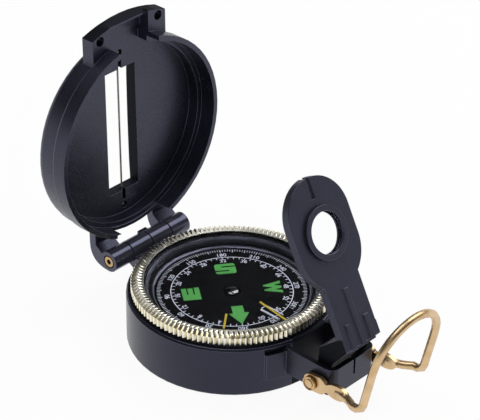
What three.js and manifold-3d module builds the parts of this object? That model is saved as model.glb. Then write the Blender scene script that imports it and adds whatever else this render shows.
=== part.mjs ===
// Folding sighting compass: liquid capsule, turning bezel, slotted lid, lens arm and thumb loop.
// Millimetres, +Z up. The origin is the centre of the case's flat underside; +Y points to the hinge.
import * as THREE from 'three';
import { mergeVertices } from 'three/addons/utils/BufferGeometryUtils.js';
import Module from 'manifold-3d';

const wasm = await Module();
wasm.setup();

// Clearance between neighbouring pieces, and facets to a full turn
const GAP = 0.3;
const FINE = 56;
const ROUND = 36;
const SMALL = 20;
const TINY = 8;

// Case
const CASE_R = 27.6;
const CASE_TOP = 14.2;
const CASE_FLOOR = 2.0;
const CASE_EDGE = 0.8;
const CASE_BREAK = 0.5;
const SHOULDER_W = 1.2;
const COLLAR_IN = 2.4;
const COLLAR_WALL = 1.1;

// Turning bezel, its glass and washer
const WASHER_T = 0.4;
const WASHER_IN = 1.0;
const BEZEL_H = 2.9;
const BEZEL_LIP = 0.7;
const BEZEL_EDGE = 0.25;
const BEZEL_OVERLAP = 1.0;
const SLOPE_W = 1.5;
const SLOPE_H = 0.7;
const SLOPE_CUT = 0.3;
const FLUTES = 120;
const FLUTE_DEEP = 0.42;
const FLUTE_STEPS = 2;
const GLASS_T = 1.0;
const INDEX_T = 0.15;
const INDEX_W = 0.5;
const INDEX_AZIMUTH = -97.5;
const INDEX_STEP = -45;
const LONG_L = 10.3;
const LONG_IN = 2.4;
const SHORT_L = 6.4;
const SHORT_IN = 3.2;

// Capsule and its window
const GLASS_CLEAR = 0.5;
const CUP_FLOOR = 1.4;
const CUP_WALL = 2.3;
const CUP_FLARE = 0.3;
const SEAL_T = 0.4;
const SEAL_W = 0.7;
const WINDOW_T = 1.0;
const WINDOW_IN = 1.0;
const FRAME_HALF = 3.3;
const FRAME_IN = 2.2;
const FRAME_L = 8.2;
const FRAME_RIB = 0.45;
const FRAME_H = 0.2;
const FRAME_ROUND = 1.6;
const PLUG_R = 1.1;
const PLUG_IN = 7.3;

// Compass card and its bearing
const CARD_IN = 0.5;
const CARD_T = 0.7;
const CARD_AZIMUTH = -127;
const DOME_H = 0.6;
const DOME_CLEAR = 0.4;
const HUB_R = 2.0;
const HUB_FLANGE = 1.2;
const HUB_FLANGE_T = 0.6;
const HUB_ROOF = 0.1;
const JEWEL_R = 1.0;
const JEWEL_H = 1.7;
const JEWEL_CONE_R = 0.7;
const JEWEL_CONE_H = 1.1;
const POST_R = 1.7;
const POST_FOOT_R = 4.0;
const POST_FOOT_H = 1.0;
const NEEDLE_L = 3.6;
const NEEDLE_TIP_R = 0.08;
const MAGNET_L = 15.0;
const MAGNET_W = 2.4;
const MAGNET_H = 1.6;
const MAGNET_AT = 5.2;

// Hinge
const BARREL_R = 2.95;
const BARREL_HALF = 13.9;
const BASE_HALF = 7.05;
const HINGE_CLEAR = 0.55;
const PIN_R = 1.55;
const PIN_BORE_R = 0.7;
const GROOVE_W = 0.5;
const GROOVE_D = 0.35;
const NUB_W = 3.0;
const NUB_L = 1.2;
const NUB_AT = 1.2;
const NUB_H = 0.25;
const LUG_DROP = 6.6;
const LUG_TOP = 0.5;
const LUG_ROOT = 2.4;

// Lid, drawn closed about its hinge; a lid length runs from the hinge towards the tab
const LID_OPEN = 91.2;
const LID_OVER = 0.6;
const LID_CLEAR = 0.4;
const LEDGE_W = 1.5;
const LEDGE_CLEAR = 1.3;
const FOLD_CLEAR = 0.75;
const LID_T = 3.55;
const LID_EDGE = 0.65;
const LID_CROWN = 0.6;
const STEP_AT = 4.0;
const STEP_IN = 0.5;
const SLOT_HALF = 5.3;
const SLOT_L = 36.3;
const SLOT_SHIFT = -0.45;
const TAB_HALF = 13.0;
const TAB_T = 3.8;
const TAB_SET = 0.25;
const TAB_SIDE = 3.5;
const TAB_BOW = 2.3;
const SHELF_HALF = 9.0;
const SHELF_T = 1.45;
const SHELF_OUT = 1.7;
const BAR_T = 0.7;
const BAR_L = 5.4;
const BAR_HEEL = 2.4;
const BAR_OUT = 2.7;
const BAR_DROP = 1.2;
const BAR_LIP = 0.7;
const EYELET_R = 1.3;
const EYELET_X = 10.3;
const EYELET_IN = 0.9;
const CHANNEL_CLEAR = 0.4;
const RELIEF_HALF = 10.2;
const RELIEF_LAND = 0.2;
const ARM_DEPTH = 7.1;
const ARM_RUN = 3.2;
const ARM_ROOT = 4.6;
const WIRE_R = 0.25;
const WIRE_BED = 1.7;
const WIRE_SLIT = 3.1;
const WIRE_TAIL = 4.7;
const BEAD_R = 0.6;

// Front bracket and its cross pin
const BRACKET_OUT = 14.6;
const BRACKET_WALL = 1.5;
const BRACKET_LOW = 5.3;
const BRACKET_H = 7.7;
const BRACKET_ROUND = 2.6;
const BRACKET_SIDE = 0.6;
const SLIT_W = 0.7;
const SLIT_L = 4.6;
const PAD_HALF = 13.5;
const PAD_T = 0.6;
const PAD_POCKET = 1.2;
const PAD_DROP = 1.0;
const PAD_BELOW = 1.0;
const CROSS_OUT = 8.9;
const CROSS_Z = 8.1;
const CROSS_R = 1.2;
const HEAD_R = 1.95;
const HEAD_T = 0.6;
const HEAD_RIM = 0.25;
const HEAD_GROOVE = 0.55;
const HEAD_GROOVE_D = 0.4;

// Lens arm, drawn folded flat; an arm length runs from the cross pin towards the lens
const ARM_RAISE = 62.3;
const ARM_CLEAR = 0.5;
const PLATE_T = 2.4;
const STEM_HALF = 6.2;
const FOOT_WIDER = 0.2;
const PLATE_FOOT = 6.0;
const NECK_L = 3.6;
const LENS_AT = 35.6;
const PADDLE_R = 10.4;
const PADDLE_OFF = 4.1;
const NOTCH_W = 1.2;
const NOTCH_L = 5.5;
const LENS_R = 5.7;
const LENS_T = 0.8;
const LENS_DOME = 0.5;
const LENS_LIP = 1.1;
const LIP_IN = 0.4;
const LIP_FLARE = 1.3;
const LIP_LAND = 0.3;
const RING_W = 1.6;
const RING_T = 0.6;
const RIB_W = 1.5;
const RIB_H = 0.4;
const RIB_LONG = 14.8;
const RIB_SHORT = 6.4;
const RIB_AT = 3.4;
const RIB_WRAP = 3.2;
const BOSS_R = 2.5;
const HEEL_CLEAR = 0.75;
const HEEL_UP = 3.7;
const CURL_CLEAR = 0.8;

// Thumb loop
const EYE_R = 2.45;
const EYE_L = 2.6;
const EYE_T = 1.2;
const NECK_HALF = 1.2;
const LOBE_AT = 8.3;
const LOBE_L = 3.6;
const LOBE_W = 2.1;
const LOOP_WIRE_R = 1.1;
const LOOP_FLARE = 3.2;
const LOOP_ARM = 18.2;
const LOOP_LIFT = 5.6;
const LOOP_BEND = 3.0;
const BOW_H = 24.8;
const BOW_LEAN = 12.9;

// Places that follow from the sizes above
const BEZEL_R = CASE_R - SHOULDER_W;
const COLLAR_R = BEZEL_R - COLLAR_IN;
const WELL_R = COLLAR_R - COLLAR_WALL;
const BEZEL_LOW = CASE_TOP + WASHER_T + GAP;
const BEZEL_TOP = BEZEL_LOW + BEZEL_H;
const GLASS_TOP = BEZEL_TOP - BEZEL_LIP;
const GLASS_LOW = GLASS_TOP - GLASS_T;
const COLLAR_TOP = GLASS_LOW - GAP;
const CUP_R = WELL_R - GAP;
const CUP_BORE = CUP_R - CUP_WALL;
const CUP_BASE = CASE_FLOOR + CUP_FLOOR;
const WINDOW_R = CUP_R - WINDOW_IN;
const FRAME_FAR = WINDOW_R - FRAME_IN;
const PLUG_AT = CUP_BORE - PLUG_IN;
const WINDOW_TOP = GLASS_LOW - INDEX_T - GLASS_CLEAR - FRAME_H;
const WINDOW_LOW = WINDOW_TOP - WINDOW_T;
const CARD_R = CUP_BORE - CARD_IN;
const CARD_TOP = WINDOW_LOW - DOME_CLEAR - DOME_H;
const CARD_LOW = CARD_TOP - CARD_T;
const JEWEL_LOW = CARD_TOP - JEWEL_H - HUB_ROOF - CARD_T;
const LID_R = CASE_R + LID_OVER;
const HINGE_Y = LID_R + BARREL_R + HINGE_CLEAR;
const HINGE_Z = CASE_TOP + GAP;
const RIM_R = BEZEL_R + LID_CLEAR;
const LEDGE_R = RIM_R - LEDGE_W;
const LEDGE_D = BEZEL_TOP - HINGE_Z + LEDGE_CLEAR;
const CROSS_Y = -CASE_R - CROSS_OUT;
const PLATE_LOW = BEZEL_TOP + ARM_CLEAR - CROSS_Z;
const PLATE_TOP = PLATE_LOW + PLATE_T;
const RING_TOP = PLATE_TOP + GAP + RING_T;
const LID_FLOOR = CROSS_Z + RING_TOP + FOLD_CLEAR - HINGE_Z;
const LID_BACK = LID_FLOOR + LID_T;
const TAB_BACK = LID_FLOOR - TAB_SET;
const TAB_CORNER = HINGE_Y + LID_R + TAB_SIDE;
const TAB_REACH = TAB_CORNER + TAB_BOW;
const SHELF_REACH = HINGE_Y + LID_R + SHELF_OUT;
const SLOT_NEAR = HINGE_Y + SLOT_SHIFT - SLOT_L / 2;
const SLOT_FAR = SLOT_NEAR + SLOT_L;
const WIRE_NEAR = SLOT_NEAR - WIRE_TAIL;
const WIRE_FAR = SLOT_FAR + WIRE_TAIL;
const WIRE_Z = LID_FLOOR + WIRE_BED - BEAD_R - GAP / 2;
const FOOT_HALF = STEM_HALF + FOOT_WIDER;
const CHANNEL_HALF = FOOT_HALF + CHANNEL_CLEAR;
const BRACKET_HALF = FOOT_HALF + BRACKET_SIDE + BRACKET_WALL;
const BRACKET_FRONT = -CASE_R - BRACKET_OUT;
const BRACKET_TOP = BRACKET_LOW + BRACKET_H;
const EYE_IN = BRACKET_HALF + GAP;
const HEAD_IN = EYE_IN + EYE_T + GAP;
const PAST = 1.0;

const rad = THREE.MathUtils.degToRad;
const TURN_TO_SIDE = new THREE.Matrix4().makeBasis(
  new THREE.Vector3(0, 1, 0),
  new THREE.Vector3(0, 0, 1),
  new THREE.Vector3(1, 0, 0),
);

// A closed geometry becomes a solid that can be joined and cut
function solid(geometry) {
  const bare = geometry.clone();
  bare.deleteAttribute('normal');
  bare.deleteAttribute('uv');
  const merged = mergeVertices(bare);
  const index = Array.from(merged.index.array);
  const kept = [];
  for (let i = 0; i < index.length; i += 3) {
    const corners = index.slice(i, i + 3);
    if (new Set(corners).size === 3) {
      kept.push(...corners);
    }
  }
  return new wasm.Manifold(new wasm.Mesh({
    numProp: 3,
    vertProperties: new Float32Array(merged.getAttribute('position').array),
    triVerts: new Uint32Array(kept),
  }));
}

function join(first, ...others) {
  return others.reduce((sum, next) => sum.add(next), first);
}

function cut(body, ...tools) {
  return tools.reduce((rest, tool) => rest.subtract(tool), body);
}

function surface(body) {
  const mesh = body.getMesh();
  const geometry = new THREE.BufferGeometry();
  geometry.setAttribute('position', new THREE.BufferAttribute(new Float32Array(mesh.vertProperties), 3));
  geometry.setIndex(new THREE.BufferAttribute(new Uint32Array(mesh.triVerts), 1));
  return geometry;
}

function block(x0, x1, y0, y1, z0, z1) {
  const geometry = new THREE.BoxGeometry(x1 - x0, y1 - y0, z1 - z0);
  return solid(geometry.translate((x0 + x1) / 2, (y0 + y1) / 2, (z0 + z1) / 2));
}

function disc(radius, z0, z1, x, y, segments) {
  const geometry = new THREE.CylinderGeometry(radius, radius, z1 - z0, segments);
  return solid(geometry.rotateX(Math.PI / 2).translate(x, y, (z0 + z1) / 2));
}

function rod(radius, x0, x1, y, z) {
  const geometry = new THREE.CylinderGeometry(radius, radius, x1 - x0, SMALL);
  return solid(geometry.rotateZ(Math.PI / 2).translate((x0 + x1) / 2, y, z));
}

function turned(profile, segments, y = 0) {
  const points = profile.map(([r, z]) => new THREE.Vector2(r, z));
  return solid(new THREE.LatheGeometry(points, segments).rotateX(Math.PI / 2).translate(0, y, 0));
}

function ring(inner, outer, z0, z1, segments, y = 0) {
  return turned([[inner, z0], [outer, z0], [outer, z1], [inner, z1], [inner, z0]], segments, y);
}

// Points of a quarter round from one direction to another, in degrees
function roundOff(r, z, radius, from, to, steps = 3) {
  return Array.from({ length: steps + 1 }, (_, i) => {
    const angle = rad(from + (to - from) * (i / steps));
    return [r + radius * Math.cos(angle), z + radius * Math.sin(angle)];
  });
}

function outline(points) {
  return new THREE.Shape(points.map(([x, y]) => new THREE.Vector2(x, y)));
}

function extruded(shape, depth, curveSegments = TINY) {
  return new THREE.ExtrudeGeometry(shape, { depth, bevelEnabled: false, curveSegments });
}

function plate(shape, z0, z1, curveSegments = TINY) {
  return solid(extruded(shape, z1 - z0, curveSegments).translate(0, 0, z0));
}

// An outline drawn in Y and Z, as deep as the stretch of X given
function sidePlate(shape, x0, x1, y = 0, z = 0) {
  return solid(extruded(shape, x1 - x0).applyMatrix4(TURN_TO_SIDE).translate(x0, y, z));
}

function mirrored(make) {
  return [-1, 1].map(make);
}

function between(a, b) {
  return a < b ? [a, b] : [b, a];
}

// A tongue with two round corners at its near end, symmetrical about X = 0
function tongue(half, near, far, radius) {
  const shape = new THREE.Shape();
  shape.moveTo(-half, far);
  shape.lineTo(-half, near + radius);
  shape.absarc(radius - half, near + radius, radius, Math.PI, Math.PI * 1.5, false);
  shape.absarc(half - radius, near + radius, radius, -Math.PI / 2, 0, false);
  shape.lineTo(half, far);
  shape.closePath();
  return shape;
}

// Case: a drum with a bezel collar, a hinge lug at the back and an open bracket at the front
function caseDrum() {
  return turned([
    [0, 0],
    ...roundOff(CASE_R - CASE_EDGE, CASE_EDGE, CASE_EDGE, -90, 0, 2),
    [CASE_R, CASE_TOP - CASE_BREAK],
    [CASE_R - CASE_BREAK, CASE_TOP],
    [COLLAR_R, CASE_TOP],
    [COLLAR_R, COLLAR_TOP],
    [WELL_R, COLLAR_TOP],
    [WELL_R, CASE_FLOOR],
    [0, CASE_FLOOR],
  ], FINE);
}

function hingeLug() {
  const root = CASE_R - LUG_ROOT - HINGE_Y;
  const web = new THREE.Shape();
  web.moveTo(root, -LUG_DROP);
  web.lineTo(0, -BARREL_R);
  web.lineTo(0, -LUG_TOP);
  web.lineTo(root, -LUG_TOP);
  web.closePath();
  const crest = HINGE_Z + BARREL_R;
  const nubY = HINGE_Y + NUB_AT;
  const groove = cut(
    rod(BARREL_R + PAST, -GROOVE_W / 2, GROOVE_W / 2, HINGE_Y, HINGE_Z),
    rod(BARREL_R - GROOVE_D, -GROOVE_W, GROOVE_W, HINGE_Y, HINGE_Z),
  );
  return join(
    cut(rod(BARREL_R, -BASE_HALF, BASE_HALF, HINGE_Y, HINGE_Z), groove),
    sidePlate(web, -BASE_HALF, BASE_HALF, HINGE_Y, HINGE_Z),
    block(-NUB_W / 2, NUB_W / 2, nubY - NUB_L / 2, nubY + NUB_L / 2, HINGE_Z, crest + NUB_H),
  );
}

function bracketWalls() {
  const root = LUG_ROOT - CASE_R;
  const inside = BRACKET_FRONT + BRACKET_WALL;
  const outer = tongue(BRACKET_HALF, BRACKET_FRONT, root, BRACKET_ROUND);
  const inner = tongue(BRACKET_HALF - BRACKET_WALL, inside, root + PAST, BRACKET_ROUND - BRACKET_WALL);
  const front = BRACKET_FRONT - PAST;
  return cut(
    plate(outer, BRACKET_LOW, BRACKET_TOP),
    plate(inner, BRACKET_LOW - PAST, BRACKET_TOP + PAST),
    block(-SLIT_W / 2, SLIT_W / 2, front, inside + PAST, BRACKET_TOP - SLIT_L, BRACKET_TOP + PAST),
  );
}

// A stretch of the case's front wall beside the bracket, out to the pad's end
function besideBracket(side, z0, z1) {
  const [x0, x1] = between(side * (BRACKET_HALF - BRACKET_WALL / 2), side * PAD_HALF);
  return block(x0, x1, -CASE_R - PAST, -CASE_R / 2, z0, z1);
}

function bracketPad(side) {
  const top = BRACKET_TOP - PAD_DROP;
  return disc(CASE_R + PAD_T, 0, top, 0, 0, FINE).intersect(besideBracket(side, BRACKET_LOW - PAD_BELOW, top));
}

function padPocket(side) {
  const low = BRACKET_TOP - PAD_DROP;
  const high = CASE_TOP - CASE_BREAK - GAP;
  return ring(CASE_R - PAD_POCKET, CASE_R + PAST, low, high, FINE).intersect(besideBracket(side, low, high));
}

function baseCase() {
  const drum = cut(join(caseDrum(), ...mirrored(bracketPad)), ...mirrored(padPocket));
  return cut(
    join(drum, hingeLug(), bracketWalls()),
    disc(WELL_R, CASE_FLOOR, COLLAR_TOP + PAST, 0, 0, FINE),
    rod(PIN_R + GAP, -BARREL_HALF, BARREL_HALF, HINGE_Y, HINGE_Z),
    rod(CROSS_R + GAP, -BRACKET_HALF - PAST, BRACKET_HALF + PAST, CROSS_Y, CROSS_Z),
  );
}

// Capsule: cup, seal, window with its raised reading frame, filling plug and needle post
function capsuleCup() {
  const seat = WINDOW_LOW - SEAL_T;
  const cup = turned([
    [0, CASE_FLOOR],
    [CUP_R, CASE_FLOOR],
    [CUP_R, COLLAR_TOP],
    [CUP_R - CUP_FLARE, COLLAR_TOP],
    [WINDOW_R + GAP, WINDOW_TOP],
    [WINDOW_R + GAP, seat],
    [WINDOW_R - SEAL_W, seat],
    [CUP_BORE, seat - SEAL_T],
    [CUP_BORE, CUP_BASE],
    [0, CUP_BASE],
  ], ROUND);
  return cut(cup, disc(PLUG_R + GAP, 0, CUP_BASE + PAST, PLUG_AT, 0, SMALL));
}

function capsuleWindow() {
  const near = FRAME_FAR - FRAME_L;
  const wide = tongue(FRAME_HALF, near, FRAME_FAR, FRAME_ROUND);
  const inset = FRAME_ROUND - FRAME_RIB;
  const narrow = tongue(FRAME_HALF - FRAME_RIB, near + FRAME_RIB, FRAME_FAR + PAST, inset);
  const rib = cut(
    plate(wide, WINDOW_TOP - FRAME_H, WINDOW_TOP + FRAME_H),
    plate(narrow, WINDOW_LOW - PAST, WINDOW_TOP + PAST),
  );
  return join(disc(WINDOW_R, WINDOW_LOW, WINDOW_TOP, 0, 0, ROUND), rib);
}

function pivotPost() {
  const tip = JEWEL_LOW + JEWEL_CONE_H - GAP;
  return turned([
    [0, CUP_BASE],
    [POST_FOOT_R, CUP_BASE],
    [POST_FOOT_R, CUP_BASE + POST_FOOT_H],
    [POST_R, CUP_BASE + POST_FOOT_H],
    [POST_R, tip - NEEDLE_L],
    [NEEDLE_TIP_R, tip],
    [0, tip],
  ], SMALL);
}

// Card: a printed disc on a domed hub with a jewel cup and two bar magnets
function bearingHub() {
  const bore = JEWEL_R + GAP;
  const roof = JEWEL_LOW + JEWEL_H + HUB_ROOF;
  const dome = roundOff(0, 0, 1, 0, 90, 4).map(([r, z]) => [HUB_R * r, CARD_TOP + DOME_H * z]);
  return turned([
    [bore, JEWEL_LOW],
    [HUB_R, JEWEL_LOW],
    [HUB_R, CARD_LOW - HUB_FLANGE_T],
    [HUB_R + HUB_FLANGE, CARD_LOW - HUB_FLANGE_T],
    [HUB_R + HUB_FLANGE, CARD_LOW],
    [HUB_R, CARD_LOW],
    ...dome.slice(0, -1),
    [0, CARD_TOP + DOME_H],
    [0, roof],
    [bore, roof],
    [bore, JEWEL_LOW],
  ], SMALL);
}

function jewelCup() {
  return turned([
    [0, JEWEL_LOW + JEWEL_CONE_H],
    [JEWEL_CONE_R, JEWEL_LOW],
    [JEWEL_R, JEWEL_LOW],
    [JEWEL_R, JEWEL_LOW + JEWEL_H],
    [0, JEWEL_LOW + JEWEL_H],
  ], SMALL);
}

function barMagnet(side) {
  const [y0, y1] = between(side * (MAGNET_AT - MAGNET_W / 2), side * (MAGNET_AT + MAGNET_W / 2));
  return block(-MAGNET_L / 2, MAGNET_L / 2, y0, y1, CARD_LOW - MAGNET_H, CARD_LOW);
}

// Bezel: a ring fluted all round its rim and its sloping top; every second column of points is a valley
function flutedCrown() {
  const profile = [
    [0, BEZEL_LOW],
    [BEZEL_R, BEZEL_LOW],
    [BEZEL_R, BEZEL_TOP - SLOPE_H],
    [BEZEL_R - SLOPE_W, BEZEL_TOP],
    [0, BEZEL_TOP],
  ].map(([r, z]) => new THREE.Vector2(r, z));
  const geometry = new THREE.LatheGeometry(profile, FLUTES * FLUTE_STEPS).rotateX(Math.PI / 2);
  const at = geometry.getAttribute('position');
  for (let i = 0; i < at.count; i += 1) {
    const radius = Math.hypot(at.getX(i), at.getY(i));
    const column = Math.floor(i / profile.length);
    if (column % FLUTE_STEPS === 0 && radius > FLUTE_DEEP) {
      const shrink = 1 - FLUTE_DEEP / radius;
      const drop = at.getZ(i) > BEZEL_LOW + FLUTE_DEEP ? FLUTE_DEEP : 0;
      at.setXYZ(i, at.getX(i) * shrink, at.getY(i) * shrink, at.getZ(i) - drop);
    }
  }
  return solid(geometry);
}

function bezelRing() {
  const bore = COLLAR_R + GAP;
  const mouth = COLLAR_R - BEZEL_OVERLAP;
  const rise = BEZEL_LIP - BEZEL_EDGE;
  const lip = BEZEL_R - SLOPE_W + SLOPE_CUT;
  return cut(flutedCrown(), turned([
    [0, BEZEL_LOW - PAST],
    [bore, BEZEL_LOW - PAST],
    [bore, GLASS_TOP],
    [mouth, GLASS_TOP],
    [mouth, GLASS_TOP + BEZEL_EDGE],
    [lip + (lip - mouth) / rise, BEZEL_TOP + PAST],
    [0, BEZEL_TOP + PAST],
  ], FINE));
}

function indexLine(length, inset) {
  const end = COLLAR_R - inset;
  return block(end - length, end, -INDEX_W / 2, INDEX_W / 2, GLASS_LOW - INDEX_T, GLASS_LOW);
}

// Lid: a stepped cup with a crowned back, a sight slot, a tab with two eyes and two hinge arms
function lidCup() {
  const side = LID_R - STEP_IN;
  const edge = LID_FLOOR + LID_EDGE;
  const rise = LID_BACK - LID_CROWN - edge;
  return turned([
    [0, LID_FLOOR],
    [LEDGE_R, LID_FLOOR],
    [LEDGE_R, LEDGE_D],
    [RIM_R, LEDGE_D],
    [RIM_R, 0],
    [LID_R, 0],
    [LID_R, STEP_AT],
    [side, STEP_AT + STEP_IN],
    ...roundOff(side - rise, edge, rise, 0, 90),
    [side / 2, LID_BACK - LID_CROWN / 4],
    [0, LID_BACK],
  ], FINE, -HINGE_Y);
}

function tabOutline() {
  const shape = new THREE.Shape();
  shape.moveTo(-TAB_HALF, -HINGE_Y);
  shape.lineTo(-TAB_HALF, -TAB_CORNER);
  shape.quadraticCurveTo(0, TAB_CORNER - 2 * TAB_REACH, TAB_HALF, -TAB_CORNER);
  shape.lineTo(TAB_HALF, -HINGE_Y);
  shape.closePath();
  return shape;
}

function lidTab() {
  const inside = disc((RIM_R + LID_R) / 2, 0, LID_BACK, 0, -HINGE_Y, FINE);
  const eyes = mirrored((side) => disc(EYELET_R, 0, LID_BACK, side * EYELET_X, EYELET_IN - TAB_CORNER, SMALL));
  return cut(plate(tabOutline(), TAB_BACK - TAB_T, TAB_BACK), inside, ...eyes);
}

function tabShelf() {
  return block(-SHELF_HALF, SHELF_HALF, -SHELF_REACH, -HINGE_Y - LEDGE_R, LID_FLOOR, LID_FLOOR + SHELF_T);
}

// The bar between the tab's sides has a lip for a fingertip, which slopes down towards the front
function tabBar() {
  const half = (CHANNEL_HALF + EYELET_X) / 2;
  const front = TAB_BACK - BAR_T;
  const back = LID_FLOOR + SHELF_T / 2;
  const edge = TAB_BACK - BAR_OUT;
  const wedge = outline([
    [BAR_L - TAB_REACH, front],
    [BAR_L - TAB_REACH, back],
    [-SHELF_REACH, back],
    [-SHELF_REACH, TAB_BACK],
    [-TAB_REACH, TAB_BACK],
    [BAR_DROP - TAB_REACH, edge],
    [BAR_DROP + BAR_LIP - TAB_REACH, edge],
    [BAR_HEEL - TAB_REACH, front],
  ]);
  return plate(tabOutline(), edge, back).intersect(sidePlate(wedge, -half, half));
}

function lidArm(side) {
  const [x0, x1] = between(side * (BASE_HALF + GAP), side * BARREL_HALF);
  const root = HINGE_Y - LEDGE_R + ARM_ROOT;
  const web = new THREE.Shape();
  web.moveTo(0, 0);
  web.lineTo(BARREL_R, 0);
  web.quadraticCurveTo(BARREL_R, ARM_DEPTH, -ARM_RUN, ARM_DEPTH);
  web.lineTo(-root, ARM_DEPTH);
  web.lineTo(-root, LEDGE_D + RELIEF_LAND);
  web.lineTo(-ARM_RUN, LEDGE_D + RELIEF_LAND);
  web.closePath();
  const inside = disc(LEDGE_R + RELIEF_LAND, -BARREL_R - PAST, LID_FLOOR, 0, -HINGE_Y, FINE);
  return cut(join(sidePlate(web, x0, x1), rod(BARREL_R, x0, x1, 0, 0)), inside);
}

// A straight round strand from bead to bead
function strand(radius) {
  const geometry = new THREE.CylinderGeometry(radius, radius, WIRE_FAR - WIRE_NEAR, TINY);
  return solid(geometry.translate(0, -(WIRE_NEAR + WIRE_FAR) / 2, WIRE_Z));
}

// The wire leaves the slot in an open slit at each end and passes under a land to the bead's pocket
function wireBed() {
  const bed = LID_FLOOR + WIRE_BED;
  const half = WIRE_R + GAP;
  const ends = [WIRE_NEAR, WIRE_FAR].map((s) => disc(BEAD_R + GAP, LID_FLOOR - PAST, bed, 0, -s, SMALL));
  const slit = block(-half, half, -SLOT_FAR - WIRE_SLIT, WIRE_SLIT - SLOT_NEAR, LID_FLOOR - PAST, bed);
  return [slit, strand(half), ...ends];
}

function lidShell() {
  const channelStart = HINGE_Y + LEDGE_R - TAB_SIDE;
  const cup = cut(
    join(lidCup(), lidTab(), tabShelf()),
    block(-CHANNEL_HALF, CHANNEL_HALF, -TAB_REACH - PAST, -channelStart, -PAST, LID_FLOOR),
    block(-SLOT_HALF, SLOT_HALF, -SLOT_FAR, -SLOT_NEAR, 0, LID_BACK + PAST),
    block(-RELIEF_HALF, RELIEF_HALF, RIM_R - HINGE_Y - LEDGE_W, 0, -PAST, LEDGE_D - RELIEF_LAND),
    ...wireBed(),
  );
  const bore = rod(PIN_R + GAP, -BARREL_HALF - PAST, BARREL_HALF + PAST, 0, 0);
  return cut(join(cup, tabBar(), ...mirrored(lidArm)), bore);
}

function sightWire() {
  const beads = [WIRE_NEAR, WIRE_FAR].map((s) => {
    return solid(new THREE.SphereGeometry(BEAD_R, TINY, TINY).translate(0, -s, WIRE_Z));
  });
  return join(strand(WIRE_R), ...beads);
}

// Lens arm: a ribbed stem with a round paddle on a cranked foot
function paddleOutline() {
  const shape = new THREE.Shape();
  const low = LENS_AT - PADDLE_OFF;
  const high = LENS_AT + PADDLE_OFF;
  const side = Math.asin(STEM_HALF / PADDLE_R);
  const slit = Math.asin(NOTCH_W / 2 / PADDLE_R);
  const floor = high + PADDLE_R - NOTCH_L;
  shape.moveTo(-STEM_HALF, PLATE_FOOT);
  shape.lineTo(STEM_HALF, PLATE_FOOT);
  shape.absarc(0, low, PADDLE_R, side - Math.PI / 2, 0, false);
  shape.absarc(0, high, PADDLE_R, 0, Math.PI / 2 - slit, false);
  shape.lineTo(NOTCH_W / 2, floor);
  shape.lineTo(-NOTCH_W / 2, floor);
  shape.absarc(0, high, PADDLE_R, Math.PI / 2 + slit, Math.PI, false);
  shape.absarc(0, low, PADDLE_R, Math.PI, Math.PI * 1.5 - side, false);
  shape.closePath();
  return shape;
}

// The raised foot runs back over the bracket's front wall, so its underside is set off from that wall's edge
function footEdge() {
  const edge = new THREE.Vector2(BRACKET_FRONT + BRACKET_WALL - CROSS_Y, BRACKET_TOP - CROSS_Z);
  edge.rotateAround(new THREE.Vector2(0, 0), -rad(ARM_RAISE));
  return edge.add(new THREE.Vector2(CURL_CLEAR, 0));
}

function crankedFoot() {
  const edge = footEdge();
  const heel = CROSS_OUT - HEEL_CLEAR;
  const neck = PLATE_FOOT + NECK_L;
  const shape = new THREE.Shape();
  shape.moveTo(0, 0);
  shape.lineTo(BOSS_R, 0);
  shape.lineTo(heel, HEEL_UP);
  shape.lineTo(neck, PLATE_LOW);
  shape.lineTo(neck, PLATE_TOP);
  shape.lineTo(PLATE_FOOT, PLATE_TOP);
  shape.lineTo(edge.x, edge.y);
  shape.lineTo(0, BOSS_R);
  shape.closePath();
  return join(
    sidePlate(shape, -FOOT_HALF, FOOT_HALF),
    rod(BOSS_R, -FOOT_HALF, FOOT_HALF, 0, 0),
  );
}

// A rib runs down the stem and turns in under its foot
function stemRib(x, length) {
  const foot = new THREE.Vector2(PLATE_FOOT, PLATE_TOP);
  const wrap = footEdge().sub(foot).setLength(RIB_WRAP).add(foot);
  const shape = outline([
    [PLATE_FOOT + length, PLATE_TOP - RIB_H],
    [PLATE_FOOT + length, PLATE_TOP + RIB_H],
    [PLATE_FOOT - RIB_H, PLATE_TOP + RIB_H],
    [wrap.x - RIB_H, wrap.y],
    [wrap.x + RIB_H, wrap.y],
    [PLATE_FOOT + RIB_H, PLATE_TOP - RIB_H],
  ]);
  return sidePlate(shape, x - RIB_W / 2, x + RIB_W / 2);
}

// The lens rests on a lip that flares out at the back
function lensSeat() {
  const seat = PLATE_LOW + LENS_LIP;
  const lip = LENS_R - LIP_IN;
  const sight = turned([
    [0, PLATE_LOW - PAST],
    [lip + LIP_FLARE, PLATE_LOW - PAST],
    [lip, seat - LIP_LAND],
    [lip, PLATE_TOP],
    [0, PLATE_TOP],
  ], ROUND, LENS_AT);
  return [sight, disc(LENS_R + GAP, seat, PLATE_TOP + PAST, 0, LENS_AT, ROUND)];
}

function eyepieceFrame() {
  const shorts = mirrored((side) => stemRib(side * RIB_AT, RIB_SHORT));
  const body = join(
    plate(paddleOutline(), PLATE_LOW, PLATE_TOP, SMALL / 2),
    crankedFoot(),
    stemRib(0, RIB_LONG),
    ...shorts,
  );
  return cut(
    body,
    ...lensSeat(),
    rod(CROSS_R + GAP, -FOOT_HALF - PAST, FOOT_HALF + PAST, 0, 0),
  );
}

function eyepieceLens() {
  const low = PLATE_LOW + LENS_LIP + GAP;
  const shoulder = low + LENS_T;
  const dome = roundOff(0, 0, 1, 0, 90, 4).map(([r, z]) => [LENS_R * r, shoulder + LENS_DOME * z]);
  return turned([[0, low], [LENS_R, low], ...dome.slice(0, -1), [0, shoulder + LENS_DOME]], ROUND, LENS_AT);
}

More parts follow.
